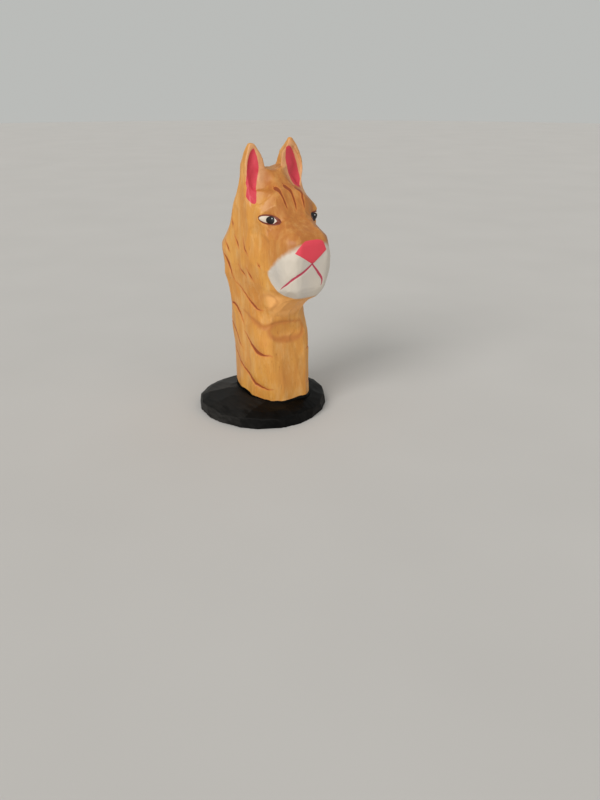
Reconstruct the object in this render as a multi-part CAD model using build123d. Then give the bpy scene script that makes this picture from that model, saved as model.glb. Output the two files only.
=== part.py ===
from build123d import *
import math
import os

# Eyeglasses stand: a hand-carved cat's head on a long neck, let into a round wooden base and held
# from below by two countersunk screws. Millimetres, +Z up, and the cat faces -Y. X = 0 is the
# carving's plane of symmetry; the origin is on the base's underside, below the middle of the neck.

# ---- driving dimensions ----------------------------------------------------------------------
TOTAL_HEIGHT = 140.6       # floor to ear tips
MUZZLE_FRONT = 39.2        # how far the nose stands in front of the origin

BASE_RADIUS = 35.0         # mean radius of the hand-sawn rim
BASE_CENTRE = (-3.5, 2.4)  # the neck stands a little off the middle of the base
BASE_OVAL = 0.8            # the rim wanders this far from round, twice round the rim
BASE_WOBBLE = 1.0          # and this far, three times round the rim
BASE_CORNERS = 20          # the rim is cut in short flats
RIM_HEIGHT = 5.5           # upright edge of the base
BEVEL = (7.6, 5.5)         # height reached and width of the bevel inside the rim
DOME = (9.8, 19.0)         # height of the top beside the neck, and how far in from the rim
MORTISE_FLOOR = 4.5        # wood left under the neck's foot

SCREW_RADIUS = 2.0         # countersunk wood screws
SCREW_LENGTH = 26.0
SCREW_HEAD_RADIUS = 4.0
SCREW_HEAD_HEIGHT = 2.4
SCREW_HEAD_LIP = 0.4       # the upright edge of the head
SCREW_HEAD_DEPTH = 0.6     # the heads sit this far inside the underside
SCREW_SPACING = 18.0       # between the two screws, front to back
THREAD_PITCH = 1.8
THREAD_DEPTH = 0.55
THREAD_TURNS = 8
CROSS_SLOT = (4.4, 0.9, 1.2)  # length, width and depth of the driver recess
SHANK_CLEARANCE = 0.15

# ---- the carving's lines ---------------------------------------------------------------------
# Each level is a height and the right half of a section, from the front to the back: front
# face, muzzle corner, muzzle-to-cheek seam, cheek or neck side, side at the back, nape.
LEVELS = [
    # the neck, which leans back a little as it rises
    (MORTISE_FLOOR, [(9.6, -19.2), (13.0, -17.0), (15.2, -14.4), (15.4, -5.2), (13.4, 6.8), (10.3, 17.6)]),
    (34.0, [(9.4, -18.3), (13.0, -16.4), (15.4, -13.2), (15.6, -5.0), (14.0, 7.6), (10.8, 18.2)]),
    (51.0, [(9.2, -16.4), (12.8, -14.8), (15.2, -11.4), (15.7, -4.0), (14.9, 9.2), (11.3, 18.9)]),
    # the throat and the underside of the chin
    (56.0, [(8.5, -15.8), (12.0, -13.9), (14.6, -10.4), (15.9, -3.5), (15.6, 10.2), (11.4, 19.4)]),
    (62.0, [(6.5, -24.0), (10.0, -20.6), (14.0, -13.4), (16.3, -4.5), (16.3, 11.2), (11.6, 20.0)]),
    (69.0, [(5.0, -34.4), (9.0, -28.2), (13.5, -18.2), (17.0, -6.5), (17.4, 12.2), (11.7, 21.2)]),
    # the muzzle and the ruff
    (73.0, [(7.0, -37.4), (10.3, -33.0), (14.0, -20.6), (17.6, -8.0), (18.0, 12.6), (12.0, 21.6)]),
    (81.0, [(8.3, -38.4), (11.9, -35.0), (14.8, -21.8), (18.4, -9.0), (18.6, 13.2), (12.6, 22.0)]),
    (88.0, [(8.8, -MUZZLE_FRONT), (12.2, -35.3), (14.8, -22.6), (18.6, -9.0), (18.8, 13.0), (12.7, 22.0)]),
    (96.0, [(7.4, -39.0), (10.8, -34.2), (14.0, -23.6), (18.2, -10.0), (18.2, 9.5), (12.0, 18.5)]),
    # the bridge of the nose, the eyes and the brow
    (100.0, [(5.5, -35.0), (9.5, -30.4), (13.5, -23.0), (18.0, -10.0), (17.8, 7.8), (12.0, 16.5)]),
    (105.0, [(5.5, -25.8), (9.9, -24.0), (14.5, -20.7), (17.8, -9.5), (17.5, 6.5), (12.0, 14.3)]),
    (111.0, [(6.0, -22.8), (10.8, -20.8), (15.2, -15.6), (17.6, -9.0), (17.3, 4.2), (12.0, 11.5)]),
    # the forehead, with a narrow shelf on each side of it, in front of the ears
    (114.5, [(6.0, -20.6), (11.1, -17.6), (14.6, -11.0), (17.3, -7.8), (17.0, 3.1), (12.0, 9.7)]),
    (117.0, [(6.0, -19.0), (10.4, -15.0), (14.4, -9.4), (17.1, -7.4), (16.8, 2.5), (12.0, 8.6)]),
    # the ears stand at the back of the shelf and narrow to a ridge
    (118.2, [(4.8, -17.0), (8.8, -9.2), (14.6, -8.8), (17.0, -7.2), (16.7, 2.2), (12.0, 8.1)]),
    (122.0, [(3.2, -11.6), (6.6, -7.8), (14.5, -7.6), (16.8, -6.4), (16.4, 1.4), (12.0, 6.5)]),
    (129.0, [(4.6, -6.5), (8.8, -6.3), (14.3, -6.3), (16.3, -5.4), (15.4, 0.6), (11.6, 3.4)]),
    (TOTAL_HEIGHT, [(8.0, -4.2), (9.6, -4.2), (11.2, -4.2), (12.2, -3.6), (12.2, -2.5), (11.2, -2.0)]),
]

NAPE_FLAT = 0.4            # the back is crowned: its flat strip takes this share of the nape's width
NAPE_CROWN = 0.14          # and stands out by this share of its half width

NOTCH_FLOOR = 126.0        # the saddle between the ears
NOTCH_HALF_WIDTH = 2.2
EAR_TIP_INSIDE = 10.8      # from the middle to the inner edge of each ear tip
RIGHT_EAR_SHORTER = 1.7    # the cat's right ear was cut a little shorter

EAR_HOLLOW_DEPTH = 1.0     # the leaf-shaped hollow in the front of each ear
EAR_HOLLOW_BOTTOM = (13.6, 116.0)
EAR_HOLLOW_TOP = (10.9, 136.6)
EAR_HOLLOW_WIDTH = 5.8
EAR_FRONT = -6.2           # the front of the ears, half way up
EAR_LEAN = 9.0             # degrees that the front of the ears leans back

EYE = (12.6, -21.8, 105.0)     # middle of each eye, on the slope beside the bridge
EYE_FACING = (0.62, -0.76, 0.2)
EYE_SCOOP_RADIUS = 9.0
EYE_SCOOP_DEPTH = 0.9

CHEST_SCOOP_RADIUS = 14.0      # the shallow scoop across the chest, under the chin
CHEST_SCOOP_AXIS = (2.0, -29.9, 48.5)
CHEST_SCOOP_WIDTH = 21.0

# two knife cuts take off the neck's front corner on the cat's right; both run out upwards
CORNER_CUTS = [((-5.5, -18.6), (-11.1, -15.2)), ((-11.1, -15.2), (-15.2, -5.2))]
CORNER_CUT_TOP = 46.0
CORNER_CUT_LEAN = 5.0          # degrees


def section(height, half):
    """A level face: the right half of an outline, crowned at the nape, and its mirror image."""
    nape_x, nape_y = half[-1]
    right = half + [(NAPE_FLAT * nape_x, nape_y + NAPE_CROWN * nape_x)]
    left = [(-x, y) for x, y in reversed(right)]
    return Pos(0, 0, height) * make_face(Polyline(*(right + left), close=True))


def notch():
    """The V between the ears, cut through from front to back."""
    slope = (EAR_TIP_INSIDE - NOTCH_HALF_WIDTH) / (TOTAL_HEIGHT - NOTCH_FLOOR)
    over = 2.0
    top = EAR_TIP_INSIDE + slope * over
    points = [
        (-NOTCH_HALF_WIDTH, NOTCH_FLOOR),
        (NOTCH_HALF_WIDTH, NOTCH_FLOOR),
        (top, TOTAL_HEIGHT + over),
        (-top, TOTAL_HEIGHT + over),
    ]
    face = make_face(Plane.XZ * Polyline(*points, close=True))
    return extrude(face, amount=40, both=True)


def ear_hollow(side):
    """A shallow leaf cut into the front of one ear; side is 1 or -1."""
    bottom = Vector(side * EAR_HOLLOW_BOTTOM[0], EAR_HOLLOW_BOTTOM[1])
    top = Vector(side * EAR_HOLLOW_TOP[0], EAR_HOLLOW_TOP[1])
    middle = (bottom + top) * 0.5
    bulge = Vector(EAR_HOLLOW_WIDTH / 2, 0)
    outline = ThreePointArc(bottom, middle - bulge, top) + ThreePointArc(top, middle + bulge, bottom)
    leaf = extrude(make_face(Plane.XZ * outline), amount=20, dir=(0, -1, 0))
    hinge = Axis((0, 0, middle.Y), (1, 0, 0))
    return Pos(0, EAR_FRONT + EAR_HOLLOW_DEPTH, 0) * leaf.rotate(hinge, -EAR_LEAN)


def eye_scoop(side):
    """The shallow round socket of one eye."""
    facing = Vector(side * EYE_FACING[0], EYE_FACING[1], EYE_FACING[2]).normalized()
    eye = Vector(side * EYE[0], EYE[1], EYE[2])
    centre = eye + facing * (EYE_SCOOP_RADIUS - EYE_SCOOP_DEPTH)
    return Pos(centre) * Sphere(EYE_SCOOP_RADIUS)


def chest_scoop():
    """A hollow across the chest."""
    scoop = Cylinder(CHEST_SCOOP_RADIUS, CHEST_SCOOP_WIDTH, rotation=(0, 90, 0))
    return Pos(*CHEST_SCOOP_AXIS) * scoop


def corner_cut(start, end):
    """What one knife cut takes off the neck outside the line from start to end."""
    along = (Vector(*end) - Vector(*start)).normalized()
    outward = Vector(-along.Y, along.X) - Vector(0, 0, math.tan(math.radians(CORNER_CUT_LEAN)))
    plane = Plane(origin=Vector(*start, DOME[0]), x_dir=along, z_dir=outward.normalized())
    reach = 2 * (CORNER_CUT_TOP - DOME[0])
    return plane * Box(60, reach, 20, align=(Align.CENTER, Align.CENTER, Align.MIN))


def screw(y):
    """A countersunk wood screw with its head down, at the given distance from the neck's middle."""
    core = SCREW_RADIUS - THREAD_DEPTH
    thread_start = SCREW_LENGTH - (THREAD_TURNS + 2) * THREAD_PITCH
    outline = [
        (0, 0),
        (SCREW_HEAD_RADIUS, 0),
        (SCREW_HEAD_RADIUS, SCREW_HEAD_LIP),
        (SCREW_RADIUS, SCREW_HEAD_HEIGHT),
        (SCREW_RADIUS, thread_start),
    ]
    for turn in range(THREAD_TURNS):
        z = thread_start + turn * THREAD_PITCH
        outline.append((core, z + 0.3 * THREAD_PITCH))
        outline.append((core, z + 0.7 * THREAD_PITCH))
        outline.append((SCREW_RADIUS, z + THREAD_PITCH))
    outline.append((core, SCREW_LENGTH - 1.6 * THREAD_PITCH))  # the point starts here
    outline.append((0, SCREW_LENGTH))
    body = revolve(make_face(Plane.XZ * Polyline(*outline, close=True)), Axis.Z)
    length, width, depth = CROSS_SLOT
    for slot_size in ((length, width), (width, length)):
        body -= Box(*slot_size, depth, align=(Align.CENTER, Align.CENTER, Align.MIN))
    return Pos(0, y, SCREW_HEAD_DEPTH) * body


def screw_hole(y):
    """A screw's hole in the base: a countersink open to the underside, and a clearance hole."""
    upward = (Align.CENTER, Align.CENTER, Align.MIN)
    mouth_height = SCREW_HEAD_DEPTH + SCREW_HEAD_LIP
    mouth = Cylinder(SCREW_HEAD_RADIUS, mouth_height, align=upward)
    sink = Cone(SCREW_HEAD_RADIUS, SCREW_RADIUS, SCREW_HEAD_HEIGHT - SCREW_HEAD_LIP, align=upward)
    shank = Cylinder(SCREW_RADIUS + SHANK_CLEARANCE, MORTISE_FLOOR + 1, align=upward)
    return Pos(0, y, 0) * (mouth + Pos(0, 0, mouth_height) * sink + shank)


def head_and_neck():
    """Neck, head, muzzle and ears, carved from one block; the screw holes come later."""
    block = loft([section(height, half) for height, half in LEVELS], ruled=True)
    block -= notch()
    for side in (-1, 1):
        block -= ear_hollow(side)
        block -= eye_scoop(side)
    block -= chest_scoop()
    for start, end in CORNER_CUTS:
        block -= corner_cut(start, end)
    ear_top = Box(30, 20, 5, align=(Align.MAX, Align.CENTER, Align.MIN))
    return block - Pos(0, 0, TOTAL_HEIGHT - RIGHT_EAR_SHORTER) * ear_top


def base_outline(height, inset):
    """The base's many-sided, slightly oval outline at one height, moved in by the inset."""
    points = []
    for corner in range(BASE_CORNERS):
        angle = 2 * math.pi * corner / BASE_CORNERS
        radius = BASE_RADIUS - inset
        radius += BASE_OVAL * math.cos(2 * angle - 0.8)
        radius += BASE_WOBBLE * math.cos(3 * angle - 0.9)
        points.append((radius * math.cos(angle), radius * math.sin(angle)))
    return Pos(*BASE_CENTRE, height) * make_face(Polyline(*points, close=True))


def base(carving, screw_rows):
    """The round base: upright rim, bevel and low dome, with the mortise and the screw holes."""
    outlines = [base_outline(0, 0), base_outline(RIM_HEIGHT, 0.5)]
    outlines += [base_outline(*BEVEL), base_outline(*DOME)]
    body = loft(outlines, ruled=True)
    body -= carving
    for y in screw_rows:
        body -= screw_hole(y)
    return body


def main():
    os.makedirs("parts", exist_ok=True)
    screw_rows = {"front": -SCREW_SPACING / 2, "back": SCREW_SPACING / 2}
    screws = {name: screw(y) for name, y in screw_rows.items()}
    carving = head_and_neck()
    nodes = {"base": base(carving, screw_rows.values())}
    for name, fastener in screws.items():
        carving -= fastener
        nodes[f"base_screw_{name}"] = fastener
    nodes["head_and_neck"] = carving
    for name, solid in nodes.items():
        solid.label = name
        export_step(solid, f"parts/{name}.step")
        print(name, round(solid.volume), solid.is_valid, len(solid.solids()))


main()
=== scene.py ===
import math

import bmesh
import bpy
import numpy as np
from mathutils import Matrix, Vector


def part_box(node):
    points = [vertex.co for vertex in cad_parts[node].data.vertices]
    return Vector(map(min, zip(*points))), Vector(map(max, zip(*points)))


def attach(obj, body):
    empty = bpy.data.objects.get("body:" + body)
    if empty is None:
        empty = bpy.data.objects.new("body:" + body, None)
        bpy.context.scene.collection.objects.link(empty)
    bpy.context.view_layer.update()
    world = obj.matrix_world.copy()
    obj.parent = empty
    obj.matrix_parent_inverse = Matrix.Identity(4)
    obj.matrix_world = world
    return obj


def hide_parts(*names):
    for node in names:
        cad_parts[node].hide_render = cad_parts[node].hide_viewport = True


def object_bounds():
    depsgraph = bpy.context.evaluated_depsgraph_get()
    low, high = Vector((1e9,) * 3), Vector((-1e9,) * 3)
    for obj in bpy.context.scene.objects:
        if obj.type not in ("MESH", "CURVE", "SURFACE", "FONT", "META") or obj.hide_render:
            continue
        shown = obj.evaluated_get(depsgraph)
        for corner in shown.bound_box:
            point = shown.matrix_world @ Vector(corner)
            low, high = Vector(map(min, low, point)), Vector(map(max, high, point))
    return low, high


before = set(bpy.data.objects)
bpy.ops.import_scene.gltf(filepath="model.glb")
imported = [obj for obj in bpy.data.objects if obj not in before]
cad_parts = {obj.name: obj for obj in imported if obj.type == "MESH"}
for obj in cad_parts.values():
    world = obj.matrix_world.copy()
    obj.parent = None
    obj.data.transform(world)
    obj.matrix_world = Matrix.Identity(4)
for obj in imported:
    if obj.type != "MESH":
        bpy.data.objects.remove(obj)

# The looks of the carved eyeglasses stand. Lengths in the carving tools are millimetres in the
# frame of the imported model: +Z up, the cat faces -Y, X = 0 is the carving's plane of symmetry.

cad_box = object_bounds()
MM = 0.001
SEED = 11

VOXEL = 0.46                 # the carved wood's mesh spacing
BASE_VOXEL = 0.55
FAR = 9.0                    # a painted offset that means nowhere near

SMOOTH_IN = 0.5              # each round of smoothing draws in by this share
SMOOTH_OUT = 0.52            # and lets out again by this one, so the size is kept
HOLLOW_GAIN = 40
FIT_REACH = 8.0              # how much of a side is drawn in to meet the model's box
FIT_MARGIN = 0.05

SCREW_NODES = ("base_screw_front", "base_screw_back")
SCREWS = []
for screw_node in SCREW_NODES:
    low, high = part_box(screw_node)
    SCREWS.append(((low[0] + high[0]) / 2 / MM, (low[1] + high[1]) / 2 / MM))
SCREW_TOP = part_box("base_screw_front")[1][2] / MM + 1.0
SCREW_REACH = 4.6            # every corner of a screw hole is this near the screw's axis


# ---- a block of wood and the knife ------------------------------------------------------------

class Wood:
    """A closed mesh as arrays, with the tools that carve and paint it."""

    def __init__(self, name, node, voxel):
        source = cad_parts[node]
        mesh = source.data.copy()
        mesh.transform(source.matrix_world)
        plug_screw_holes(mesh)
        self.obj = bpy.data.objects.new(name, mesh)
        bpy.context.scene.collection.objects.link(self.obj)
        remesh = self.obj.modifiers.new("voxels", "REMESH")
        remesh.mode = "VOXEL"
        remesh.voxel_size = voxel * MM
        graph = bpy.context.evaluated_depsgraph_get()
        fine = bpy.data.meshes.new_from_object(self.obj.evaluated_get(graph))
        self.obj.modifiers.clear()
        self.obj.data = fine
        fine.name = name
        count = len(fine.vertices)
        flat = np.empty(count * 3, np.float32)
        fine.vertices.foreach_get("co", flat)
        self.p = flat.reshape(-1, 3).astype(float) / MM
        edges = np.empty(len(fine.edges) * 2, np.int32)
        fine.edges.foreach_get("vertices", edges)
        self.links = np.bincount(edges, minlength=count)
        self.edges = edges.reshape(-1, 2)
        corners = np.empty(len(fine.loops), np.int32)
        fine.loops.foreach_get("vertex_index", corners)
        self.quads = corners.reshape(-1, 4)
        self.paint = {}
        self.aim()

    def around(self, values):
        """Each point's mean of its neighbours' values."""
        a, b = self.edges.T
        total = np.empty_like(values)
        for axis in range(values.shape[1]):
            column = values[:, axis]
            total[:, axis] = np.bincount(a, column[b], len(values))
            total[:, axis] += np.bincount(b, column[a], len(values))
        return total / self.links[:, None]

    def aim(self, rounds=0):
        """Works the normals out again, and smooths them."""
        corner = self.p[self.quads]
        face = np.cross(corner[:, 2] - corner[:, 0], corner[:, 3] - corner[:, 1])
        total = np.empty_like(self.p)
        for axis in range(3):
            spread = np.repeat(face[:, axis], 4)
            total[:, axis] = np.bincount(self.quads.ravel(), spread, len(self.p))
        for _ in range(rounds):
            total = self.around(unit(total))
        self.n = unit(total)

    def smooth(self, rounds, where=1.0, keep_size=True):
        """Rounds the surface off, by a weight for each point. Without keep_size it also shrinks."""
        weight = np.broadcast_to(where, len(self.p))[:, None]
        for _ in range(rounds):
            self.p += SMOOTH_IN * weight * (self.around(self.p) - self.p)
            if keep_size:
                self.p -= SMOOTH_OUT * weight * (self.around(self.p) - self.p)
        self.aim()

    def push(self, height):
        """Moves the surface out along its normals, or in where height is negative."""
        self.p += self.n * height[:, None]

    def snap(self, points):
        """The surface points nearest to the given ones."""
        return np.array([self.p[((self.p - point) ** 2).sum(1).argmin()] for point in points])

    def hollow(self):
        """Above 0 in hollows and below 0 on ridges."""
        curve = ((self.around(self.p) - self.p) * self.n).sum(1)
        for _ in range(2):
            curve = 0.5 * curve + 0.5 * self.around(curve[:, None])[:, 0]
        return curve * HOLLOW_GAIN

    def fit_inside(self):
        """Draws in, over the last few millimetres, whatever stands outside the model's box."""
        for axis in range(3):
            for sign, corner in ((-1, cad_box[0]), (1, cad_box[1])):
                reach = sign * self.p[:, axis]
                end = reach.max()
                over = end - sign * corner[axis] / MM + FIT_MARGIN
                if over > 0:
                    self.p[:, axis] -= sign * over * ramp(reach, end - FIT_REACH, end)
        self.aim()

    def finish(self):
        """Writes the points and the paint back to the mesh."""
        mesh = self.obj.data
        mesh.vertices.foreach_set("co", (self.p * MM).astype(np.float32).ravel())
        mesh.shade_smooth()
        for name, values in self.paint.items():
            layer = mesh.attributes.new(name, "FLOAT", "POINT")
            layer.data.foreach_set("value", np.asarray(values, np.float32))
        mesh.update()
        return self.obj


def plug_screw_holes(mesh):
    """Fills the screw holes of a copied mesh, because the screws hide them."""
    work = bmesh.new()
    work.from_mesh(mesh)
    bmesh.ops.remove_doubles(work, verts=work.verts, dist=1e-6)
    inside = []
    for vertex in work.verts:
        x, y, z = vertex.co / MM
        for screw in SCREWS:
            if math.hypot(x - screw[0], y - screw[1]) < SCREW_REACH and z < SCREW_TOP:
                inside.append(vertex)
    bmesh.ops.delete(work, geom=inside, context="VERTS")
    rims = [edge for edge in work.edges if edge.is_boundary]
    bmesh.ops.holes_fill(work, edges=rims)
    bmesh.ops.triangulate(work, faces=work.faces)
    work.to_mesh(mesh)
    work.free()


def unit(v):
    return v / np.maximum(np.linalg.norm(v, axis=-1, keepdims=True), 1e-12)


def ramp(x, low, high):
    """0 below low, 1 above high, and smooth between."""
    t = np.clip((x - low) / (high - low), 0, 1)
    return t * t * (3 - 2 * t)


def dome(p, centre, radii):
    """1 at the centre, falling smoothly to 0 on the ellipsoid."""
    r2 = (((p - np.array(centre)) / np.array(radii)) ** 2).sum(1)
    return np.clip(1 - r2, 0, None) ** 2


def curve_through(points, step=0.4):
    """Points every step along a smooth curve through the given ones, and each one's place along
    it from 0 to 1."""
    points = np.asarray(points, float)
    ends = np.vstack([2 * points[0] - points[1], points, 2 * points[-1] - points[-2]])
    out = []
    for i in range(1, len(ends) - 2):
        before, start, end, after = ends[i - 1 : i + 3]
        count = max(2, int(np.linalg.norm(end - start) / step))
        t = np.linspace(0, 1, count, endpoint=False)[:, None]
        out.append(
            0.5
            * (
                2 * start
                + (end - before) * t
                + (2 * before - 5 * start + 4 * end - after) * t**2
                + (3 * start - before - 3 * end + after) * t**3
            )
        )
    line = np.vstack(out + [points[-1:]])
    gone = np.r_[0, np.cumsum(np.linalg.norm(np.diff(line, axis=0), axis=1))]
    return line, gone / gone[-1]


def nearest_on(line, along, p, reach):
    """The points within reach of a line: their indices, distances, places along it, offsets from
    it, and the indices of the line's nearest points."""
    low, high = line.min(0) - reach, line.max(0) + reach
    near = np.where(((p > low) & (p < high)).all(1))[0]
    gap = p[near, None, :] - line[None]
    squared = (gap**2).sum(2)
    best = squared.argmin(1)
    distance = np.sqrt(squared[np.arange(len(near)), best])
    keep = distance < reach
    near, best = near[keep], best[keep]
    return near, distance[keep], along[best], p[near] - line[best], best


MOST_TRIES = 6000            # points tried when a zone's scoops are placed
SCOOP_SIZE = (0.9, 1.3)      # a scoop's size, as a share of the spacing
SCOOP_DEPTH = (0.6, 1.3)     # and its depth, as a share of the zone's depth
GRAIN_WANDER = 0.12          # how far a scoop's direction wanders from the vertical


def seeds(wood, rng, spacing, where, stretch=1.0):
    """Surface points about a spacing apart, further apart up and down by the stretch."""
    order = rng.permutation(np.where(where)[0])
    scale = np.array([1, 1, 1 / stretch])
    chosen = np.empty((0, 3))
    picked = []
    for index in order[:: max(1, len(order) // MOST_TRIES)]:
        point = wood.p[index] * scale
        if len(chosen) and (((chosen - point) ** 2).sum(1) < spacing**2).any():
            continue
        chosen = np.vstack([chosen, point])
        picked.append(index)
    return picked


def whittle(wood, rng, spacing, depth, where, stretch=1.0, tilt=0.03, calm=10):
    """Short knife cuts all over a zone. Each is a shallow scoop, longer up and down, and scoops
    that meet leave a low ridge. Calm is how many times the normals that guide it are smoothed."""
    wood.aim(calm)
    guide = wood.n
    cut = np.zeros(len(wood.p))
    tint = wood.paint.setdefault("facet", np.zeros(len(wood.p)))
    for index in seeds(wood, rng, spacing, where, stretch):
        normal = unit(guide[index] + rng.normal(0, tilt, 3))
        size = spacing * rng.uniform(*SCOOP_SIZE)
        deep = depth * rng.uniform(*SCOOP_DEPTH)
        gap = wood.p - wood.p[index]
        near = np.where(((gap / [size, size, size * stretch]) ** 2).sum(1) < 3)[0]
        gap = gap[near]
        grain = unit(np.array([0, 0, 1.0]) + rng.normal(0, GRAIN_WANDER, 3))
        grain = unit(grain - normal * (grain @ normal))
        across = np.cross(normal, grain)
        spread = (gap @ across / size) ** 2 + (gap @ grain / (size * stretch)) ** 2
        shaved = np.clip(gap @ normal + deep * (1 - spread), 0, 1.4 * deep)
        shaved *= np.clip((2.2 - spread) / 1.2, 0, 1)                   # it fades past its rim
        shaved *= np.clip((guide[near] @ normal - 0.55) / 0.3, 0, 1)    # and round a corner
        deepest = shaved > cut[near]
        cut[near[deepest]] = shaved[deepest]
        tint[near[deepest]] = rng.uniform(-1, 1)
    wood.aim(3)
    wood.push(-cut)


TAPER_IN = 0.4               # a line cut's ends taper over these shares of its length
TAPER_OUT = 0.25
PEAK_WIDTH = 0.2             # and it is wide for about this share either side of its peak
CUT_SPREAD = 1.6             # the cut is this much wider than its paint
LEAST_REACH = 2.5
NO_GAP = 1e-6                # keeps a division from a zero width


def incise(wood, points, width, depth, name, peak=0.6, shoulder=0.0, side=1, blunt=0.0, ease=6,
           glow=1.1, waist=0.45):
    """A V-cut along a line, widest at the peak and tapered at the ends, or blunt at the start. Away
    from the peak it narrows to the waist, a share of its width. The shoulder is a long slope down
    into it from one side. Ease is how many times the line is smoothed once it is on the surface.

    The paint called name is the offset from the middle of the line and half the line's width, both
    written as far as glow from the line, because they cross a face as straight slopes."""
    line, _ = curve_through(points, 0.5)
    line = wood.snap(line)
    for _ in range(ease):
        line[1:-1] = 0.5 * line[1:-1] + 0.25 * (line[:-2] + line[2:])
    line, place = curve_through(line, 0.25)
    reach = max(LEAST_REACH, shoulder + 0.6)
    near, distance, place, offset, best = nearest_on(line, place, wood.p, reach)
    beside = np.cross(wood.n[near], unit(np.gradient(line, axis=0))[best])
    sign = np.where((offset * beside).sum(1) * side > 0, 1.0, -1.0)
    taper = np.minimum(place / TAPER_IN + blunt, (1 - place) / TAPER_OUT)
    taper = np.clip(taper, 0, 1) ** 0.6
    swell = waist + (1 - waist) * np.exp(-(((place - peak) / PEAK_WIDTH) ** 2))
    half = 0.5 * width * taper * swell
    v_cut = np.clip(1 - distance / (CUT_SPREAD * half + NO_GAP), 0, 1)
    if shoulder:
        slope = np.clip(1 - distance / (shoulder * taper + NO_GAP), 0, 1) ** 1.3
        v_cut = np.maximum(v_cut, slope * (sign > 0))
    cut = np.zeros(len(wood.p))
    cut[near] = v_cut * depth * taper * swell
    off = wood.paint.setdefault(name + "_off", np.full(len(wood.p), FAR))
    wide = wood.paint.setdefault(name + "_half", np.full(len(wood.p), -FAR))
    edge = distance - half
    closer = (edge < np.abs(off[near]) - wide[near]) & (edge < glow)
    off[near[closer]] = (sign * distance)[closer]
    wide[near[closer]] = half[closer]
    wood.push(-cut)


# ---- the cat ----------------------------------------------------------------------------------

# where both sides have a value, side -1 is the cat's right and side 1 its left
EYES = {                                         # the middle of each eye
    -1: np.array([-12.7, -21.2, 105.0]),
    1: np.array([12.5, -21.4, 104.2]),
}
PUPIL_RADIUS = {-1: 1.9, 1: 2.2}
PUPIL_INWARDS = 0.2                              # from the eye's middle towards its inner corner
GLINT_RADIUS = 0.32
GLINT_PLACE = (0.6, 0.8)                         # towards the cat's left, and up, from the pupil
EYE_BACK = unit(np.array([0.64, 0.77, 0.0]))     # from the inner towards the outer corner
EYE_INNER = 5.2                                  # from an eye's middle to its inner corner
EYE_OUTER = 5.8                                  # and to its outer corner
EYE_REACH = 9.0                                  # nothing of an eye is further from its middle
EYE_LEAN = 0.18                                  # how far the face leans back there
UPPER_LID = 2.3                                  # how far the lids stand from the eye's axis
LOWER_LID = 2.0
LID_TILT = 0.8                                   # the axis falls and rises this far at the corners
LID_ROUNDNESS = 0.62
LID_LINE = 0.45                                  # the brown line round the eye
INNER_CORNER = 1.3                               # and how much wider it is at the inner corner

HEAD_BOTTOM = 60                                 # the neck is below, and the crown above these
CROWN_BOTTOM = 116
NECK_FRONT = -14
BODY_GROWTH = 0.5                                # how far the wood stands out before it is cut
HEAD_GROWTH = 0.2                                # the same on top of the head
FOOT_TOP = 9.3                                   # the base's black paint laps up to here
FOOT_LAP = 2.2                                   # and this much higher at the back right

# the pink of each ear: its outline across the ear, x and z, from the top round the outer side,
# and where the front of the ears is, z and y
RIGHT_LEAF = [
    (-10.5, 136.6), (-12.6, 135.0), (-14.2, 132.0), (-15.4, 128.0), (-16.2, 122.0), (-17.2, 117.0),
    (-17.0, 113.0), (-15.8, 111.6), (-14.6, 113.6), (-13.0, 117.0), (-10.9, 121.0), (-9.6, 125.0),
    (-9.2, 128.8), (-9.4, 132.5),
]
LEFT_LEAF = [
    (10.0, 136.9), (12.0, 134.9), (13.5, 131.0), (14.6, 126.0), (14.9, 121.0), (13.6, 117.6),
    (11.6, 117.0), (9.2, 119.0), (7.7, 123.0), (6.7, 127.8), (6.7, 132.0), (7.8, 136.0),
]
EAR_FRONT = ([112, 118, 123, 129, 141], [-7.4, -6.6, -5.0, -3.4, -1.8])
LEAF_LOWEST = 109
LEAF_TURN = 0.2                                  # the pink ends where the wood faces this far back

# the white of the muzzle: how far back it reaches, z and y, and how far down, -y and z
WHITE_BACK = (
    [68, 70, 72.5, 75, 77, 79, 81, 83, 85.4, 88.2, 91.4, 94.2, 97],
    [-33, -28.5, -25.2, -22.8, -21.8, -21.6, -22.2, -24.6, -27.4, -30.6, -35.0, -38.4, -42],
)
WHITE_UNDER = ([20, 28, 33, 40], [66.0, 69.2, 68.2, 68.8])

# the nose's outline across the face, x and z, ending at its lower point; the mouth runs from there
NOSE = [
    (-9.9, 91.5), (-7.9, 94.0), (-5.0, 96.5), (0.4, 97.0), (5.4, 96.2), (7.9, 91.6), (-0.2, 85.4),
]
NOSE_BACK = -30
MOUTH_RIGHT_SIDE = [
    (-0.2, -39, 85.6), (-4.6, -38.6, 82.4), (-7.4, -38.4, 81.2), (-9.3, -36.9, 79.6),
    (-11.1, -33.6, 76.6), (-11.5, -28.2, 72.6),
]
MOUTH_LEFT_SIDE = [(-0.2, -39, 85.5), (3.4, -38.4, 81.3), (6.3, -37.9, 77.2), (5.4, -37.5, 73.8)]

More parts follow.
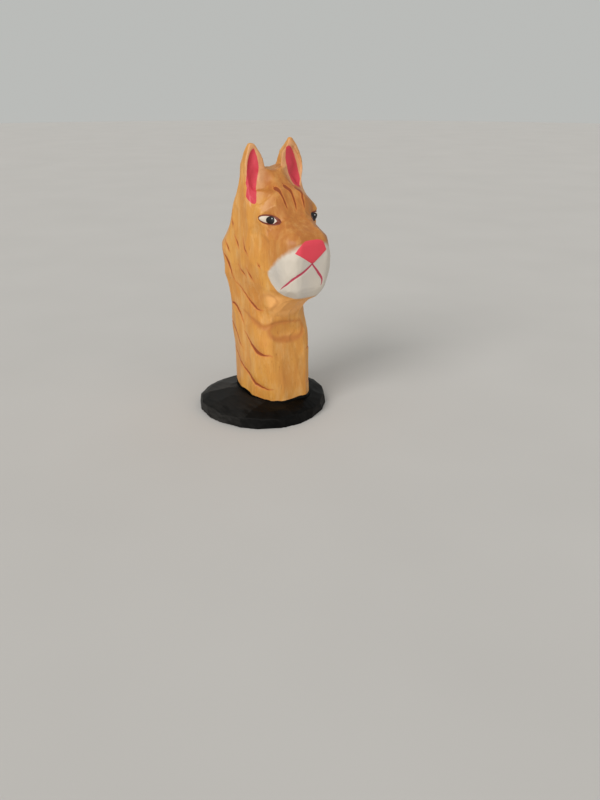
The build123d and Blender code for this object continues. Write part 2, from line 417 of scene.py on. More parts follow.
# the mane's strokes on the cat's right side: points, width, depth, shoulder and place of the peak
CUTS = [
    (
        [(-17.0, 14.5, 86), (-18.6, 10.0, 81), (-18.3, 7.6, 76.5), (-17.6, 5.6, 71.4)],
        1.4, 0.5, 2.6, 0.45,
    ),
    (
        [(-17.5, 5.0, 70.8), (-16.9, -1.6, 66.4), (-15.7, -6.7, 61.5), (-14.4, -11.2, 58.6),
         (-13.0, -13.8, 58.8)],
        1.3, 0.5, 3.2, 0.75,
    ),
    (
        [(-9.0, 19.6, 61), (-12.2, 18.3, 59.0), (-15.9, 7.9, 57.4), (-15.3, 1.2, 48.4)],
        1.2, 0.5, 3.0, 0.6,
    ),
    (
        [(-15.2, 1.0, 44.6), (-15.5, -3.0, 41.4), (-15.5, -6.7, 38.5), (-15.4, -10.4, 36.3),
         (-15.0, -11.7, 35.6), (-14.2, -13.4, 35.3), (-13.0, -15.8, 35.2), (-10.8, -17.5, 34.9)],
        2.1, 0.65, 3.8, 0.6,
    ),
    (
        [(-7.0, 19.5, 49), (-11.2, 17.6, 45.4), (-13.4, 12.0, 41.0), (-14.8, 4.6, 34.6)],
        1.4, 0.55, 2.8, 0.7,
    ),
    (
        [(-5.0, 18.4, 35), (-11.2, 16.4, 30.6), (-13.0, 10.2, 27.4), (-15.0, -1.0, 21.2),
         (-15.0, -8.0, 17.4), (-13.0, -12.6, 15.7), (-10.0, -16.8, 15.7)],
        1.7, 0.65, 3.8, 0.8,
    ),
]
# shorter strokes: on the cat's right cheek, down the nape and on the forehead
FUR_MARKS = [
    [(-18.6, 11.7, 91.4), (-18.7, 9.4, 88.3), (-18.7, 7.4, 86.0)],
    [(-18.3, 3.0, 95.2), (-18.4, 0.7, 92.2), (-18.6, -1.8, 89.0)],
    [(-18.3, -5.2, 94.8), (-18.5, -6.9, 90.2), (-18.4, -9.6, 86.8)],
    [(-18.4, 0.2, 80.9), (-18.2, -2.6, 78.0), (-17.8, -6.0, 75.4)],
    [(-18.3, -7.8, 80.4), (-17.7, -9.4, 76.7), (-16.8, -11.4, 73.6)],
    [(-16.6, -15.6, 84.0), (-16.2, -17.0, 81.8)],
    [(-18.0, 5.6, 103.0), (-18.3, 4.2, 98.6)],
    [(-17.9, 11.8, 99.5), (-18.4, 11.2, 95.0)],
]
NAPE_MARKS = [
    [(-6.0, 18.0, 99), (0.0, 19.5, 93.5), (6.0, 18.0, 99)],
    [(-7.0, 20.5, 88), (0.0, 22.5, 81.5), (7.0, 20.5, 88)],
    [(-6.5, 21.5, 76), (0.0, 22.0, 69.5), (6.5, 21.5, 76)],
    [(-4.5, 9.5, 117), (0.0, 11.5, 112.0), (4.5, 9.5, 117)],
]
BROW_MARKS = [
    [(-5.6, -15.2, 118.8), (-5.3, -18.6, 117.4), (-5.0, -20.4, 114.6), (-4.2, -23.4, 109.2)],
    [(-0.4, -15.4, 119.2), (0.7, -18.2, 117.8), (1.2, -20.2, 115.0), (0.8, -23.8, 108.6)],
    [(5.2, -17.0, 118.2), (6.2, -18.8, 117.0), (6.4, -20.0, 114.6), (5.2, -23.6, 109.0)],
]
# soft stained lines: under the jaw, round the scoop in the chest, and on the jaw's right side
JAW_CREASE = [
    (-15.8, 0.5, 56.0), (-15.7, -4.8, 53.8), (-15.0, -10.8, 51.2), (-12.6, -14.6, 49.8),
    (-8.0, -16.2, 51.6), (0.0, -16.4, 51.4), (7.0, -16.2, 50.6),
]
SCOOP_RING = [
    (-8.6, -15.9, 51.0), (-11.0, -15.8, 47.6), (-8.4, -17.2, 43.6), (-0.2, -17.3, 42.2),
    (7.6, -17.4, 42.6), (9.8, -16.6, 46.6), (7.8, -16.1, 50.6),
]
JAW_SWIRL = [
    (-14.8, -8.5, 57.2), (-14.6, -10.6, 61.0), (-14.3, -12.8, 64.6), (-13.4, -17.0, 67.6),
    (-11.8, -21.2, 68.0), (-10.3, -22.8, 65.4), (-10.2, -19.6, 61.6), (-12.0, -15.4, 58.6),
]


def mirrored(points):
    return [(-x, y, z) for x, y, z in points]


def polygon_inside(x, z, corners):
    """How far inside a polygon each point is, below 0 outside it."""
    corners = np.asarray(corners, float)
    best = np.full(len(x), 1e9)
    inside = np.zeros(len(x), bool)
    for i in range(len(corners)):
        (ax, az), (bx, bz) = corners[i - 1], corners[i]
        ex, ez = bx - ax, bz - az
        t = np.clip(((x - ax) * ex + (z - az) * ez) / (ex * ex + ez * ez), 0, 1)
        best = np.minimum(best, np.hypot(x - ax - t * ex, z - az - t * ez))
        crosses = (az > z) != (bz > z)
        with np.errstate(divide="ignore", invalid="ignore"):
            at = ax + (z - az) * ex / ez
        inside ^= crosses & (x < at)
    return np.where(inside, best, -best)


def outline_inside(p, outline):
    """How far inside a rounded outline across the face, given as x and z, each point is."""
    corners = [(x, 0, z) for x, z in outline]
    curve, _ = curve_through(corners + corners[:1], 1.0)
    return polygon_inside(p[:, 0], p[:, 2], [(x, z) for x, _, z in curve[:-1]])


def leaf_inside(p, n):
    """How far inside the pink of its ear each point is, on the front of the ear only."""
    front = p[:, 1] < np.interp(p[:, 2], *EAR_FRONT)
    inside = np.maximum(outline_inside(p, RIGHT_LEAF), outline_inside(p, LEFT_LEAF))
    inside = np.minimum(inside, 5 * (LEAF_TURN - n[:, 1]))
    return np.where(front & (p[:, 2] > LEAF_LOWEST), inside, -FAR)


def nose_inside(p):
    """How far inside the pink nose each point is: its upper sides bow outwards a little."""
    outline, _ = curve_through([(x, 0, z) for x, z in NOSE[:-1]], 1.0)
    corners = [(x, z) for x, _, z in outline] + [NOSE[-1]]
    return np.where(p[:, 1] < NOSE_BACK, polygon_inside(p[:, 0], p[:, 2], corners), -FAR)


def eye_place(p, side):
    """Each point's place round one eye, towards its outer corner and up, and whether it is near."""
    back = EYE_BACK * [side, 1, 1]
    up = unit(np.array([0.0, EYE_LEAN, 1.0]))
    up = unit(up - back * (up @ back))
    gap = p - EYES[side]
    return gap @ back, gap @ up, np.linalg.norm(gap, axis=1) < EYE_REACH


def almond(s, v):
    """How far inside the almond outline of an eye, roughly in millimetres."""
    t = np.clip((s + EYE_INNER) / (EYE_INNER + EYE_OUTER), 0, 1)
    shape = (4 * t * (1 - t)) ** LID_ROUNDNESS
    axis = -LID_TILT + 2 * LID_TILT * t
    lids = np.minimum(axis + UPPER_LID * shape - v, v - axis + LOWER_LID * shape)
    return np.minimum(lids, np.minimum(s + EYE_INNER, EYE_OUTER - s))


def lid_inside(p, side):
    """How far inside one eye each point is, and the point's place round it."""
    s, v, near = eye_place(p, side)
    return np.where(near, almond(s, v), -FAR), s, v, near


def shape_ears(wood):
    """Flares the notch between the ears towards the back, widens the front of the left ear and
    rounds the tips without losing height."""
    x, y, z = wood.p.T
    side = np.sign(x)
    room = np.clip((15 - np.abs(x)) / 9, 0, 1)       # the outsides of the ears stay where they are
    notch = np.interp(z, [124.5, 126.4, 127.4, 130, 134], [0, 0.6, 2.4, 1.6, 0])
    wood.p[:, 0] += side * room * notch
    room *= ramp(y, -7, 1) * np.where(x > 0, np.interp(z, [125, 129], [0.4, 1.0]), 1.0)
    behind = np.interp(z, [121, 126, 129, 134, 140], [0, 2.4, 2.6, 1.6, 0])
    wood.p[:, 0] += side * room * behind

    inner = ramp(x, 0.5, 4) * (1 - ramp(x, 7, 11)) * (1 - ramp(y, -6, -2)) * ramp(z, 122, 127)
    wood.p[:, 0] -= 2.0 * inner * (1 - ramp(z, 134, 140))
    wood.p[:, 0] += 1.2 * ramp(x, 8, 12) * ramp(z, 120, 127) * (1 - ramp(z, 136, 141))
    wood.smooth(10, 0.8 * ramp(z, 121, 126))

    right_top, left_top = z[side < 0].max(), z[side > 0].max()
    for face, top, rounds in ((-1, right_top, 24), (1, left_top, 14)):
        tip = ramp(wood.p[:, 2], top - 8, top - 2) * (wood.p[:, 0] * face > 0)
        wood.smooth(rounds, 0.9 * tip, keep_size=False)
        ear = wood.p[:, 0] * face > 0
        lost = top - wood.p[ear, 2].max()
        wood.p[ear, 2] += lost * ramp(wood.p[ear, 2], 126, top)
    wood.aim()


def shape_muzzle(wood):
    """A fuller, rounder muzzle than the block's."""
    y, z = wood.p.T[1:]
    muzzle = ramp(-y, 20, 30) * ramp(z, 62, 70) * (1 - ramp(z, 98, 103))
    wood.smooth(24, 0.9 * muzzle, keep_size=False)
    wood.push(muzzle * 0.7)
    wood.smooth(6, muzzle)


# where the head is fuller on both sides: how far it swells, the middle on the left, and the radii
SWELLINGS = [
    (1.3, (17, 17, 89), (9, 10, 11)),            # the corners of the nape
    (1.5, (15.5, -17.5, 106), (6, 7, 10)),       # outside the eyes
    (0.7, (9, -22.0, 114), (8, 8, 8)),           # above the eyes
]


def shape_sides(wood):
    """Fuller corners at the nape, beside the eyes and down the back of the neck."""
    for side in (-1, 1):
        for height, (middle, *rest), radii in SWELLINGS:
            wood.push(height * dome(wood.p, (middle * side, *rest), radii))
        wood.aim()
    x, y, z = wood.p.T
    back_corner = ramp(np.abs(x), 8, 12) * ramp(y, -1, 6) * (1 - ramp(y, 18, 22))
    wood.push(0.8 * (back_corner * (1 - ramp(z, 74, 84))))
    wood.aim()


def shape_throat(wood):
    """Runs the jaw softly into the neck, with a low ridge across the throat, a dimple under each
    side of the jaw and a soft corner at the front right."""
    x, y, z = wood.p.T
    wood.push(2.0 * dome(wood.p, (0, -16, 55.5), (17, 9, 7)))
    for side in (-1, 1):
        wood.push(-0.9 * dome(wood.p, (13.5 * side, -13.5, 59.5), (5, 6, 5)))
    throat = ramp(z, 43, 49) * (1 - ramp(z, 63, 69)) * ramp(-y, 0, 8)
    wood.smooth(240, 0.98 * throat, keep_size=False)
    corner = ramp(-x, 4, 7) * ramp(-y, 7, 10) * (1 - ramp(z, 44, 50))
    wood.smooth(30, 0.8 * corner, keep_size=False)


def shape_crown(wood):
    """Softens the brow, the saddle between the ears and the feet of the ears."""
    x, y, z = wood.p.T
    brow = ramp(z, 111, 115) * (1 - ramp(z, 121, 126)) * ramp(-y, 4, 8)
    wood.smooth(20, 0.8 * brow, keep_size=False)
    saddle = ramp(z, 117, 121) * (1 - ramp(z, 127, 130)) * (1 - ramp(np.abs(x), 6, 9))
    wood.smooth(60, 0.9 * (saddle * ramp(y, -12, -6)), keep_size=False)
    wood.push(1.5 * dome(wood.p, (-2.5, 2, 124), (7, 9, 6)))
    ear_foot = ramp(z, 110, 114) * (1 - ramp(z, 119, 123)) * ramp(np.abs(x), 8, 10) * ramp(-y, 3, 6)
    wood.smooth(30, 0.8 * ear_foot * (1 - ramp(-y, 14, 17)), keep_size=False)


def shape_eyes(wood):
    """Each eye swells a little inside a fine groove."""
    for side in (-1, 1):
        lid, _, _, near = lid_inside(wood.p, side)
        swell = 0.35 * ramp(lid, 0.1, 1.6) - 0.3 * np.exp(-((lid / 0.45) ** 2))
        wood.push(np.where(near, swell, 0.0))
        wood.aim()


def cut_facets(wood, rng):
    """The knife's scoops, zone by zone: long on the neck, short on the head, faint on the face."""
    y, z = wood.p.T[1:]
    muzzle = (y < -24) & (z > HEAD_BOTTOM) & (z < 100)
    throat = (y < -9) & (z > 49) & (z < 63)
    whittle(wood, rng, 5.4, 0.5, (z < HEAD_BOTTOM) & ~throat & (y > NECK_FRONT), stretch=3.0)
    whittle(wood, rng, 5.0, 0.3, (z < 50) & (y <= NECK_FRONT), stretch=3.0)
    whittle(wood, rng, 5.0, 0.12, throat, calm=30)
    head = (z >= HEAD_BOTTOM) & (z < CROWN_BOTTOM) & ~muzzle
    whittle(wood, rng, 4.8, 0.42, head, stretch=1.8)
    whittle(wood, rng, 5.4, 0.14, muzzle, stretch=1.1)
    whittle(wood, rng, 4.2, 0.16, z >= CROWN_BOTTOM, stretch=2.0, calm=6)


def cut_lines(wood):
    """The fine cuts: strokes, marks, creases and the mouth."""
    for points, width, depth, shoulder, peak in CUTS:
        incise(wood, points, width, depth, "stripe", peak, shoulder, 1, ease=1)
        incise(wood, mirrored(points), width, depth, "stripe", peak, shoulder, -1, ease=1)
    for points in FUR_MARKS:
        incise(wood, points, 0.85, 0.3, "stripe", 0.6, 1.6, 1)
        incise(wood, mirrored(points), 0.85, 0.3, "stripe", 0.6, 1.6, -1)
    for points in NAPE_MARKS:
        incise(wood, points, 1.3, 0.4, "stripe", 0.5)
    for points in BROW_MARKS:
        incise(wood, points, 2.6, 0.12, "stripe", 0.1, blunt=0.9)
    incise(wood, JAW_CREASE, 2.6, 0.35, "stain", 0.3, glow=2.2)
    incise(wood, SCOOP_RING, 3.0, 0.35, "ring", 0.5, blunt=0.5, glow=2.2)
    for points in (JAW_SWIRL, mirrored(JAW_SWIRL)):
        incise(wood, points, 1.3, 0.06, "swirl", 0.4, blunt=0.3, glow=1.6)
    mouth = {"width": 1.5, "depth": 0.35, "blunt": 0.8, "waist": 0.75}
    incise(wood, MOUTH_RIGHT_SIDE, name="mouth_right", peak=0.4, ease=20, **mouth)
    incise(wood, MOUTH_LEFT_SIDE, name="mouth_left", peak=0.5, **mouth)


def paint_eyes(wood):
    """Each eye's lid line, white, pupil and glint, as how far inside it each point is."""
    for side in (-1, 1):
        lid, s, v, near = lid_inside(wood.p, side)
        from_pupil = np.hypot(s + PUPIL_INWARDS, v)
        glint_s, glint_v = GLINT_PLACE
        from_glint = np.hypot(s + PUPIL_INWARDS - glint_s * side, v - glint_v)
        inside = {
            "eye_white": lid - LID_LINE - INNER_CORNER * ramp(-s, 1.2, 4.2),
            "lid": lid,
            "pupil": PUPIL_RADIUS[side] - from_pupil,
            "glint": GLINT_RADIUS - from_glint,
        }
        for name, values in inside.items():
            values = np.where(near, values, -FAR)
            wood.paint[name] = np.maximum(wood.paint.get(name, -FAR), values)


def paint_cat(wood):
    """Every painted zone: most as how far inside it a point is, the soft ones from 0 to 1."""
    wood.paint["nose"] = nose_inside(wood.p)
    wood.paint["leaf"] = leaf_inside(wood.p, wood.n)
    wood.paint["rim"] = ramp(wood.paint["leaf"], -4.6, -1.2) * ramp(-wood.n[:, 1], 0.25, 0.55)
    x, y, z = wood.p.T
    crisp = 1 + 3 * (1 - ramp(z, 76, 86))        # the white's edge is soft above, crisp below
    behind = (np.interp(z, *WHITE_BACK) - y) * crisp
    above = (z - np.interp(-y, *WHITE_UNDER)) * 4
    wood.paint["white"] = np.minimum(behind, above)
    paint_eyes(wood)
    # the throat zone, from 0 to 1: where the underside of the jaw gets a painted light
    wood.paint["throat"] = ramp(z, 52, 57) * (1 - ramp(z, 66, 71)) * ramp(-y, 15, 19)
    bridge = ramp(-y, 13, 21) * ramp(z, 82, 90)
    crown = ramp(-y, 2, 6) * ramp(z, 111, 118)
    wood.paint["bridge"] = np.maximum(bridge, crown) * (1 - ramp(np.abs(x), 12, 16.5))
    wood.paint["hollow"] = wood.hollow()
    wood.paint["foot"] = FOOT_TOP + FOOT_LAP * ramp(y, -13, 9) * ramp(-x, 4, 10) - z


def carve_cat():
    """The head and neck: soft forms, then knife facets, then the fine cuts and the paint."""
    rng = np.random.default_rng(SEED)
    wood = Wood("carved_cat", "head_and_neck", VOXEL)
    wood.smooth(6)
    wood.push(BODY_GROWTH - (BODY_GROWTH - HEAD_GROWTH) * ramp(wood.p[:, 2], 112, 122))
    shape_muzzle(wood)
    shape_sides(wood)
    shape_throat(wood)
    shape_crown(wood)
    shape_ears(wood)
    wood.smooth(40, 0.8 * ramp(leaf_inside(wood.p, wood.n), -0.8, 0.6), keep_size=False)

    cut_facets(wood, rng)
    wood.push(0.5 * (1 - ramp(wood.p[:, 2], 8.2, 9.6)))      # the foot fills the base's mortise
    wood.smooth(1)
    cut_lines(wood)
    shape_eyes(wood)
    wood.aim()
    wood.push(0.22 * ramp(nose_inside(wood.p), -0.3, 0.5))   # thick paint on the nose
    wood.smooth(1, 0.5)
    wood.fit_inside()

    paint_cat(wood)
    return wood.finish()


# ---- materials --------------------------------------------------------------------------------

def srgb(red, green, blue):
    """An sRGB colour from 0 to 255 as linear RGBA."""
    out = []
    for c in (red, green, blue):
        c /= 255
        out.append(c / 12.92 if c <= 0.04045 else ((c + 0.055) / 1.055) ** 2.4)
    return (*out, 1.0)


WOOD_SHINE = 0.35            # specular levels
PAINT_SHINE = 0.045

# the stained wood, from its ground to its marks, and a painted light under the jaw
HONEY = (srgb(204, 138, 62), srgb(216, 156, 72))
PALE_SMEAR = srgb(220, 172, 108)
DARK_SMEAR = srgb(196, 126, 62)
FACET_TINT = srgb(192, 124, 48)
GRAIN = srgb(184, 120, 52)
FLECK = srgb(152, 90, 38)
# painted light: the underside of the jaw is lightened, as if lit from below
THROAT_PAINTED_LIGHT = srgb(246, 180, 106)
STAIN = srgb(175, 107, 48)
STAIN_BY_WHITE = srgb(166, 102, 42)
IN_HOLLOWS = srgb(164, 96, 40)
ON_RIDGES = srgb(226, 172, 104)
EAR_RIM = srgb(212, 157, 110)
SOFT_LINE = srgb(186, 118, 54)
SWIRL_LINE = srgb(184, 116, 54)
STRIPE_HALO = srgb(198, 122, 56)
STRIPE = srgb(142, 66, 22)

# the paints
WHITE = (srgb(198, 190, 180), srgb(206, 196, 182))
PINK = (srgb(208, 62, 76), srgb(194, 52, 68))
NOSE_PINK = srgb(220, 66, 82)
MOUTH_PINK = srgb(182, 62, 84)
LID_BROWN = srgb(112, 44, 22)
EYE_WHITE = srgb(214, 202, 186)
PUPIL_BLACK = srgb(14, 12, 14)
GLINT = srgb(190, 190, 194)
FOOT_BLACK = srgb(5, 5, 5)
BASE_BLACK = (srgb(3, 3, 3), srgb(9, 9, 9))
# grey for rubbed paint, and for a painted sheen on the back left of the base
WEAR_AND_SHEEN_GREY = srgb(62, 60, 58)
BASE_RIDGES = srgb(52, 46, 40)

STEEL = (srgb(150, 148, 140), srgb(186, 184, 176))
CLOTH = (srgb(194, 191, 188), srgb(202, 199, 196))


class Shader:
    """A material's nodes, with short calls to add and link them."""

    def __init__(self, name, **sockets):
        self.material = bpy.data.materials.new(name)
        self.material.use_nodes = True
        self.tree = self.material.node_tree
        self.bsdf = self.tree.nodes["Principled BSDF"]
        for socket, value in sockets.items():
            self.bsdf.inputs[socket.replace("_", " ")].default_value = value
        self.place = self.add("ShaderNodeTexCoord").outputs["Object"]

    def add(self, kind, **values):
        node = self.tree.nodes.new(kind)
        for key, value in values.items():
            setattr(node, key, value)
        return node

    def set(self, socket, value):
        if isinstance(value, bpy.types.NodeSocket):
            self.tree.links.new(value, socket)
        else:
            socket.default_value = value

    def output(self, name, value):
        self.set(self.bsdf.inputs[name], value)

    def math(self, operation, a, b=0.0):
        node = self.add("ShaderNodeMath", operation=operation)
        self.set(node.inputs[0], a)
        self.set(node.inputs[1], b)
        return node.outputs[0]

    def noise(self, scale, stretch=(1, 1, 1), detail=3.0, roughness=0.5, seed=0.0):
        """Noise from 0 to 1; the scale is in features per millimetre."""
        mapping = self.add("ShaderNodeMapping")
        self.set(mapping.inputs["Vector"], self.place)
        mapping.inputs["Scale"].default_value = [scale * s / MM for s in stretch]
        mapping.inputs["Location"].default_value = (seed, seed * 1.7, seed * 0.6)
        node = self.add("ShaderNodeTexNoise")
        self.set(node.inputs["Vector"], mapping.outputs["Vector"])
        node.inputs["Scale"].default_value = 1.0
        node.inputs["Detail"].default_value = detail
        node.inputs["Roughness"].default_value = roughness
        return node.outputs["Fac"]

    def ramp(self, value, low, high, to_low=0.0, to_high=1.0):
        """Smoothly from one value at low to the other at high."""
        node = self.add("ShaderNodeMapRange", interpolation_type="SMOOTHSTEP")
        self.set(node.inputs["Value"], value)
        ends = {"From Min": low, "From Max": high, "To Min": to_low, "To Max": to_high}
        for socket, number in ends.items():
            self.set(node.inputs[socket], number)
        return node.outputs["Result"]

    def paint(self, name):
        """A paint written by the carving tools."""
        node = self.add("ShaderNodeAttribute", attribute_name=name, attribute_type="GEOMETRY")
        return node.outputs["Fac"]

    def mix(self, factor, a, b):
        node = self.add("ShaderNodeMix", data_type="RGBA", clamp_factor=True)
        self.set(node.inputs["Factor"], factor)
        self.set(node.inputs[6], a)
        self.set(node.inputs[7], b)
        return node.outputs[2]

    def bump(self, height, distance, strength=1.0, below=None):
        node = self.add("ShaderNodeBump")
        node.inputs["Strength"].default_value = strength
        node.inputs["Distance"].default_value = distance * MM
        self.set(node.inputs["Height"], height)
        if below is not None:
            self.set(node.inputs["Normal"], below)
        return node.outputs["Normal"]


def cat_material():
    """Stained wood with the painted zones of the face and the stripes."""
    m = Shader("cat_wood", Coat_Weight=0.06, Coat_Roughness=0.3)    # a thin lacquer
    grain = m.noise(0.8, (1, 1, 0.06), 5, 0.65)
    broad = m.noise(0.07, (1, 1, 0.45), 2, 0.5, seed=3)
    smear = m.noise(0.28, (1, 1, 0.3), 3, 0.6, seed=7)
    fleck = m.noise(1.7, (1, 1, 0.12), 2, 0.6, seed=5)
    wobble = m.math("SUBTRACT", m.noise(0.55, detail=2, seed=8), 0.5)

    colour = m.mix(m.ramp(broad, 0.3, 0.7), *HONEY)
    colour = m.mix(m.ramp(smear, 0.45, 0.7, 0.0, 0.6), colour, PALE_SMEAR)
    colour = m.mix(m.ramp(smear, 0.5, 0.3, 0.0, 0.35), colour, DARK_SMEAR)
    colour = m.mix(m.ramp(m.paint("facet"), -1.0, 1.0, 0.0, 0.3), colour, FACET_TINT)
    colour = m.mix(m.ramp(grain, 0.42, 0.7, 0.0, 0.3), colour, GRAIN)
    colour = m.mix(m.ramp(fleck, 0.6, 0.74, 0.0, 0.45), colour, FLECK)
    # painted light: the throat zone lightens the underside of the jaw, as if lit from below
    colour = m.mix(m.paint("throat"), colour, THROAT_PAINTED_LIGHT)
    stained = m.math("MULTIPLY", m.paint("bridge"), m.ramp(smear, 0.3, 0.7, 1.0, 0.55))
    colour = m.mix(stained, colour, STAIN)
    beside_white = m.math("MULTIPLY", m.ramp(m.paint("white"), -FAR, -2.5), m.paint("bridge"))
    colour = m.mix(m.math("MULTIPLY", beside_white, 0.45), colour, STAIN_BY_WHITE)
    hollow = m.paint("hollow")
    colour = m.mix(m.ramp(hollow, 0.3, 1.6, 0.0, 0.5), colour, IN_HOLLOWS)
    colour = m.mix(m.ramp(hollow, -0.4, -2.0, 0.0, 0.35), colour, ON_RIDGES)

    def zone(name, low, high, wobble_size=0.35):
        """1 inside a painted zone, with a slightly unsteady edge."""
        edge = m.math("ADD", m.paint(name), m.math("MULTIPLY", wobble, wobble_size))
        return m.ramp(edge, low, high)

    def line(name, low, high, wobble_size=0.3):
        """1 on a painted line, with a slightly unsteady edge."""
        distance = m.math("ABSOLUTE", m.paint(name + "_off"))
        inside = m.math("SUBTRACT", m.paint(name + "_half"), distance)
        return m.ramp(m.math("ADD", inside, m.math("MULTIPLY", wobble, wobble_size)), low, high)

    colour = m.mix(m.math("MULTIPLY", m.paint("rim"), 0.75), colour, EAR_RIM)
    for name in ("stain", "ring"):
        colour = m.mix(line(name, -1.6, 0.8, 0.9), colour, SOFT_LINE)
    swirl = m.math("MULTIPLY", line("swirl", -1.2, 0.5, 0.9), 0.36)
    colour = m.mix(swirl, colour, SWIRL_LINE)
    colour = m.mix(line("stripe", -0.9, 0.2, 0.3), colour, STRIPE_HALO)
    colour = m.mix(line("stripe", 0.0, 0.25, 0.22), colour, STRIPE)
    white = m.mix(m.ramp(broad, 0.35, 0.65), *WHITE)
    colour = m.mix(zone("white", -2.6, 2.2, 2.0), colour, white)
    pink = m.mix(m.noise(0.5, (1, 1, 0.3), 2, seed=12), *PINK)
    colour = m.mix(zone("leaf", -0.05, 0.15), colour, pink)
    colour = m.mix(zone("nose", -0.05, 0.12, 0.25), colour, NOSE_PINK)
    for name in ("mouth_right", "mouth_left"):
        colour = m.mix(line(name, 0.0, 0.2, 0.2), colour, MOUTH_PINK)
    colour = m.mix(zone("lid", -0.35, -0.15, 0.3), colour, LID_BROWN)
    colour = m.mix(zone("eye_white", -0.05, 0.15, 0.2), colour, EYE_WHITE)
    colour = m.mix(zone("pupil", -0.05, 0.08, 0.1), colour, PUPIL_BLACK)
    colour = m.mix(zone("glint", -0.05, 0.05, 0.0), colour, GLINT)
    lap = m.math("MULTIPLY", m.math("SUBTRACT", m.noise(0.12, detail=2, seed=15), 0.5), 2.0)
    foot = m.math("ADD", m.paint("foot"), lap)
    painted = m.ramp(foot, 0.0, 0.2)
    colour = m.mix(painted, colour, FOOT_BLACK)
    m.output("Base Color", colour)

    m.output("Roughness", m.ramp(grain, 0.3, 0.8, 0.42, 0.56))
    m.output("Specular IOR Level", m.ramp(painted, 0.0, 1.0, WOOD_SHINE, PAINT_SHINE))
    height = m.math("ADD", m.math("MULTIPLY", grain, 0.6), m.math("MULTIPLY", fleck, 0.4))
    normal = m.bump(height, 0.09, 0.55)
    normal = m.bump(m.noise(3.0, detail=2, seed=20), 0.015, 0.4, below=normal)
    m.output("Normal", normal)
    return m.material


def base_material():
    """Black satin paint over hand-cut wood, greyer on the edges where it is rubbed thin, with a
    painted sheen on the back left flats and the left of the rim.
    """
    m = Shader("base_black_paint", Specular_IOR_Level=PAINT_SHINE)
    brush = m.noise(0.5, (1, 0.2, 1), 3, 0.6)
    broad = m.noise(0.08, detail=2, seed=4)
    colour = m.mix(m.ramp(broad, 0.3, 0.7), *BASE_BLACK)
    # grey where the paint is rubbed, and a painted sheen on the back left flats and the left of the
    # rim
    wear_and_sheen = m.math("MULTIPLY", m.paint("wear_and_sheen"), m.ramp(brush, 0.25, 0.75, 0.3, 1.0))
    colour = m.mix(wear_and_sheen, colour, WEAR_AND_SHEEN_GREY)
    on_ridges = m.ramp(m.paint("hollow"), -0.8, -2.8, 0.0, 0.12)
    colour = m.mix(on_ridges, colour, BASE_RIDGES)
    m.output("Base Color", colour)
    m.output("Roughness", m.ramp(brush, 0.3, 0.8, 0.42, 0.6))
    m.output("Normal", m.bump(brush, 0.08, 0.5))
    return m.material


def screw_material():
    """Zinc-plated steel with fine turning marks."""
    m = Shader("zinc_steel", Metallic=1.0)
    marks = m.noise(2.0, (1, 1, 4), 3, 0.6)
    m.output("Base Color", m.mix(marks, *STEEL))
    m.output("Roughness", m.ramp(marks, 0.3, 0.8, 0.3, 0.5))
    m.output("Normal", m.bump(marks, 0.03, 0.4))
    return m.material


def floor_material():
    """A pale cloth backdrop, hardly textured."""
    m = Shader("pale_cloth", Roughness=0.9)
    tint = m.noise(0.01, detail=2)
    m.output("Base Color", m.mix(tint, *CLOTH))
    m.output("Normal", m.bump(m.noise(0.4, detail=3), 0.05, 0.2))
    return m.material


# ---- the base ---------------------------------------------------------------------------------

BASE_TOP = 9.75
# the flats cut on the top of the base: the place where each is at that height, its fall along x
# and y, and how grey it is painted, for rubbed paint and a painted sheen, most at the back left
BASE_FLATS = [
    ((-17, 0), (-0.09, -0.02), 0.3),
    ((-8, 19), (-0.04, 0.10), 1.0),
    ((-11, -17), (-0.07, -0.08), 0.08),
    ((2, -20), (0.01, -0.08), 0.0),
    ((15, -12), (0.07, -0.06), 0.1),
    ((17, 4), (0.09, 0.02), 0.25),
    ((9, 20), (0.05, 0.09), 0.7),
]
WIDER_BY = 0.047
WIDER_TOWARDS = math.radians(-25)
MORTISE_FLOOR = 4.5


def cut_flats(wood):
    """Cuts the flats into the top of the base, and gives back how grey each point is painted:
    rubbed paint, and a painted sheen.
    """
    x, y, z = wood.p.T
    roof = np.full(len(x), np.inf)
    wear_and_sheen = np.zeros(len(x))
    for (px, py), (fall_x, fall_y), flat_wear_and_sheen in BASE_FLATS:
        flat = BASE_TOP - fall_x * (x - px) - fall_y * (y - py)
        wear_and_sheen[flat < roof] = flat_wear_and_sheen
        roof = np.minimum(roof, flat)
    wood.p[:, 2] = np.minimum(z, roof)
    wood.aim()
    return wear_and_sheen


def carve_base():
    """The base: a little wider towards the front right, with flats and knife facets."""
    rng = np.random.default_rng(SEED + 1)
    wood = Wood("carved_base", "base", BASE_VOXEL)
    wood.smooth(4)
    x, y, z = wood.p.T
    turn = np.arctan2(y, x) - WIDER_TOWARDS
    outside = ramp(np.hypot(x, y), 25, 33)       # the mortise keeps its size
    wood.p *= 1 + np.outer(WIDER_BY * outside * ramp(np.cos(turn), 0.55, 0.95), (1, 1, 0))
    wood.aim()
    top = (z > MORTISE_FLOOR) & (wood.n[:, 2] > 0.3)
    rim = (wood.n[:, 2] < 0.3) & (wood.n[:, 2] > -0.3)
    wear_and_sheen = cut_flats(wood)
    whittle(wood, rng, 9.5, 0.3, top, tilt=0.04)
    whittle(wood, rng, 7.5, 0.45, rim, tilt=0.05)
    wood.smooth(1)
    wood.fit_inside()
    wood.paint["hollow"] = wood.hollow()
    # greyer from facet to facet at random where the paint is rubbed, and a painted sheen: more grey
    # towards the left, less at the front
    rim_wear_and_sheen = 0.3 + 0.25 * wood.paint["facet"] + 0.35 * ramp(-wood.p[:, 0], 14, 32)
    rim_wear_and_sheen *= 1 - 0.6 * ramp(-wood.p[:, 1], 5, 25)
    wood.paint["wear_and_sheen"] = np.where(wood.n[:, 2] > 0.45, wear_and_sheen, rim_wear_and_sheen)
    return wood.finish()


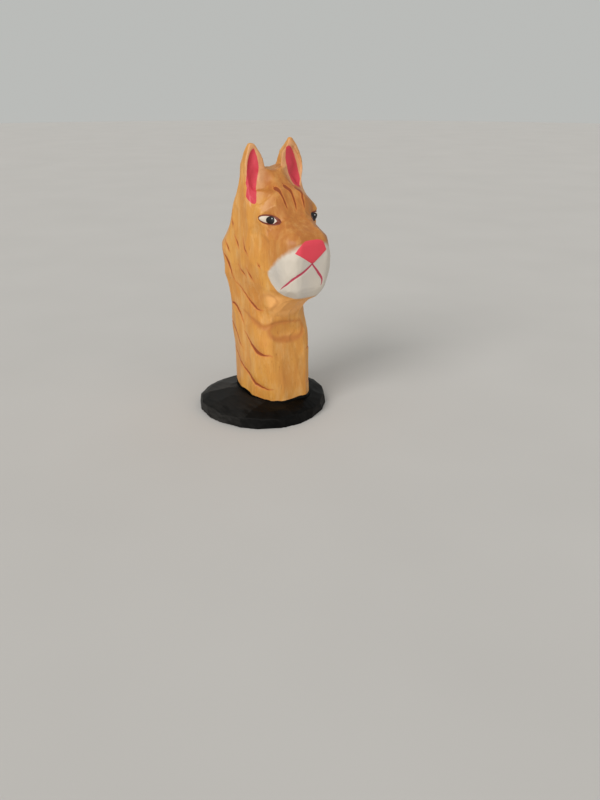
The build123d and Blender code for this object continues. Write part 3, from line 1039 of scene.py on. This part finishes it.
# ---- the stage --------------------------------------------------------------------------------

CAMERA_PLACE = Vector((-0.21177, -0.32899, 0.16787))
CAMERA_HEADING = math.radians(-35.12)
CAMERA_PITCH = math.radians(23.05)
CAMERA_LENS = 34.2
SENSOR_WIDTH = 36.0
FLOOR_RADIUS = 3.0
SKY = (0.60, 0.61, 0.59, 1)
SKY_STRENGTH = 0.82
LIGHTS = [                   # name, the way towards it, strength, spread in degrees and colour
    ("window", (-0.90, -0.34, 0.6), 1.85, 32, (1.0, 0.985, 0.96)),
    ("fill", (-0.2, -0.95, 0.12), 0.95, 80, (1.0, 0.97, 0.94)),
]


def make_camera():
    """A camera above and to the cat's right, looking a little down."""
    data = bpy.data.cameras.new("camera")
    data.lens = CAMERA_LENS
    data.sensor_width = SENSOR_WIDTH
    camera = bpy.data.objects.new("camera", data)
    camera.location = CAMERA_PLACE
    camera.rotation_euler = (math.pi / 2 - CAMERA_PITCH, 0, CAMERA_HEADING)
    bpy.context.scene.collection.objects.link(camera)
    bpy.context.scene.camera = camera


def make_floor():
    mesh = bpy.data.meshes.new("floor")
    work = bmesh.new()
    bmesh.ops.create_circle(work, cap_ends=True, segments=96, radius=FLOOR_RADIUS)
    work.to_mesh(mesh)
    work.free()
    floor = bpy.data.objects.new("floor", mesh)
    mesh.materials.append(floor_material())
    bpy.context.scene.collection.objects.link(floor)


def make_sun(name, towards_light, strength, spread, colour):
    """A soft light as wide as its spread in degrees, the same everywhere."""
    data = bpy.data.lights.new(name, "SUN")
    data.energy = strength
    data.angle = math.radians(spread)
    data.color = colour
    light = bpy.data.objects.new(name, data)
    light.location = Vector(towards_light).normalized() * 2
    light.rotation_euler = Vector(towards_light).to_track_quat("Z", "Y").to_euler()
    bpy.context.scene.collection.objects.link(light)


def make_stage():
    """The camera, the floor, a window to the left, a weak fill light and an even pale sky."""
    make_camera()
    make_floor()
    for light in LIGHTS:
        make_sun(*light)
    world = bpy.data.worlds.new("room")
    world.use_nodes = True
    background = world.node_tree.nodes["Background"]
    background.inputs["Color"].default_value = SKY
    background.inputs["Strength"].default_value = SKY_STRENGTH
    bpy.context.scene.world = world
    bpy.context.scene.view_settings.view_transform = "Standard"


# ---- put together -----------------------------------------------------------------------------

def place_piece(piece, node, material):
    """Gives a carved piece its material, and puts it in the place of its plain solid."""
    piece.data.materials.clear()
    piece.data.materials.append(material)
    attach(piece, "root")
    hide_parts(node)


make_stage()
place_piece(carve_cat(), "head_and_neck", cat_material())
place_piece(carve_base(), "base", base_material())
steel = screw_material()
for screw_node in SCREW_NODES:
    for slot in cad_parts[screw_node].material_slots:
        slot.material = steel
